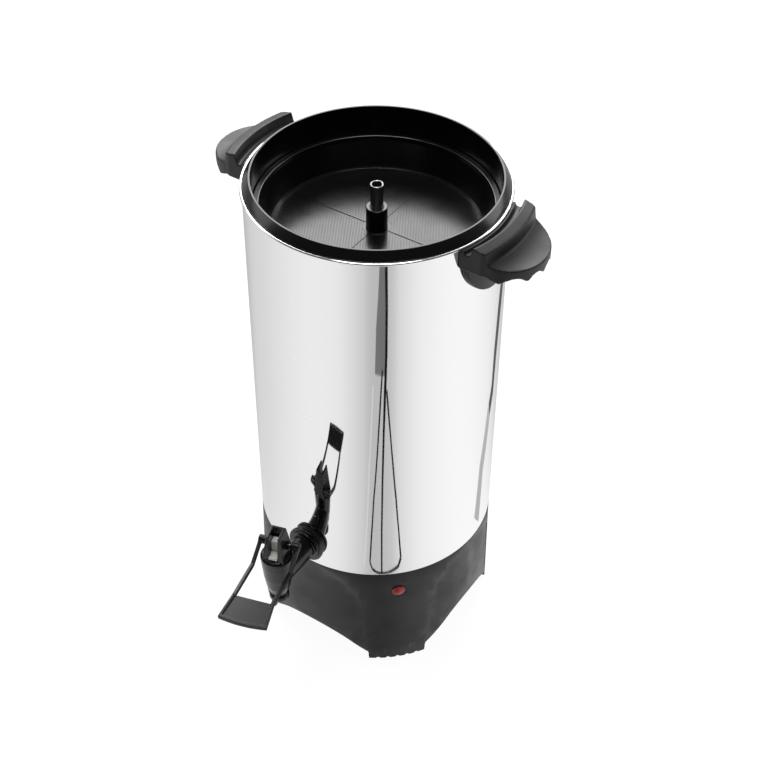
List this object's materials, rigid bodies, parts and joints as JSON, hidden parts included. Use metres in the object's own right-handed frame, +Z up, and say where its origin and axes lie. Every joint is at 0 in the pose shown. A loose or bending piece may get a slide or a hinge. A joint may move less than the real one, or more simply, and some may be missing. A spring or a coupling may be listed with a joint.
{
  "type": "coffee urn",
  "caption": "Tall cylindrical coffee urn, open at the top, with a percolator basket and stem inside, side handles, a footed base and a lift-lever faucet.",
  "frame": {"origin": "on the urn's axis, in the plane that the feet stand on", "axes": "+Z up along the urn's axis, the faucet points along -Y, the handles stand on +X and -X"},
  "size_m": [0.357, 0.4047, 0.5521],
  "materials": {
    "polished_steel": "mirror polished",
    "plain_steel": "satin",
    "zinc_steel": "zinc plated",
    "spring_steel": "drawn wire",
    "cast_aluminium": "cast",
    "element_sheath": "heat darkened",
    "sensor_can": "plain",
    "inlet_brass": "plated",
    "collar_plastic": "glossy black",
    "basket_plastic": "glossy black",
    "strainer_sheet": "black coated",
    "stem_finish": "glossy black",
    "base_plastic": "fine grain black",
    "handle_plastic": "satin black",
    "faucet_plastic": "satin black",
    "lever_plastic": "satin black",
    "inlet_plastic": "black",
    "white_plastic": "white",
    "red_lens": "translucent red",
    "lamp_glass": "clear",
    "rubber": "moulded",
    "silicone": "moulded"
  },
  "bodies": {
    "urn": {"body_shell": "polished_steel", "tank_floor": "plain_steel", "collar_ring": "collar_plastic", "base_skirt": "base_plastic", "foot_pads": "rubber", "bottom_cover": "base_plastic", "centre_stud": "zinc_steel", "cover_washer": "zinc_steel", "cover_nut": "zinc_steel", "pump_heater": "cast_aluminium", "warming_element": "element_sheath", "element_clips": "zinc_steel", "thermostat": "sensor_can", "thermal_fuse": "sensor_can", "indicator_lens": "red_lens", "lens_clip": "zinc_steel", "indicator_lamp": "lamp_glass", "inlet_housing": "inlet_plastic", "inlet_pins": "inlet_brass", "handle_left": "handle_plastic", "handle_right": "handle_plastic", "handle_screws": "zinc_steel", "faucet_body": "faucet_plastic", "faucet_gasket": "rubber", "inner_seal": "silicone", "shank_nut": "faucet_plastic", "bonnet": "faucet_plastic", "valve_spring": "spring_steel"},
    "valve": {"valve_stem": "white_plastic", "seat_cup": "silicone"},
    "pour_lever": {"lever": "lever_plastic", "lever_pin": "spring_steel", "lift_cam": "faucet_plastic"},
    "percolator": {"stem_tube": "stem_finish", "pump_foot": "plain_steel"},
    "coffee_basket": {"basket": "basket_plastic", "basket_spider": "basket_plastic", "basket_strainer": "strainer_sheet"},
    "check_disc": {"pump_disc": "plain_steel"}
  },
  "joints": [
    {"name": "lever_lift", "type": "hinge", "parent": "urn", "child": "pour_lever", "pos_m": [-0.00244, -0.16975, 0.2021], "axis": [-0.9588, -0.284, 0], "range_deg": [0, 25], "stiffness_Nm_per_rad": 0.05, "springref_deg": -22.92},
    {"name": "valve_slide", "type": "slide", "parent": "urn", "child": "valve", "axis": [0, 0, 1], "range_m": [0, 0.0026], "deforming": ["valve_spring"]},
    {"name": "stem_lift", "type": "slide", "parent": "urn", "child": "percolator", "axis": [0, 0, 1], "range_m": [0, 0.42]},
    {"name": "basket_lift", "type": "slide", "parent": "percolator", "child": "coffee_basket", "axis": [0, 0, 1], "range_m": [0, 0.05]},
    {"name": "disc_float", "type": "slide", "parent": "percolator", "child": "check_disc", "axis": [0, 0, 1], "range_m": [0, 0.0015]}
  ],
  "couplings": [
    {"joint": "valve_slide", "follows": "lever_lift", "m_per_rad": 0.0058}
  ]
}
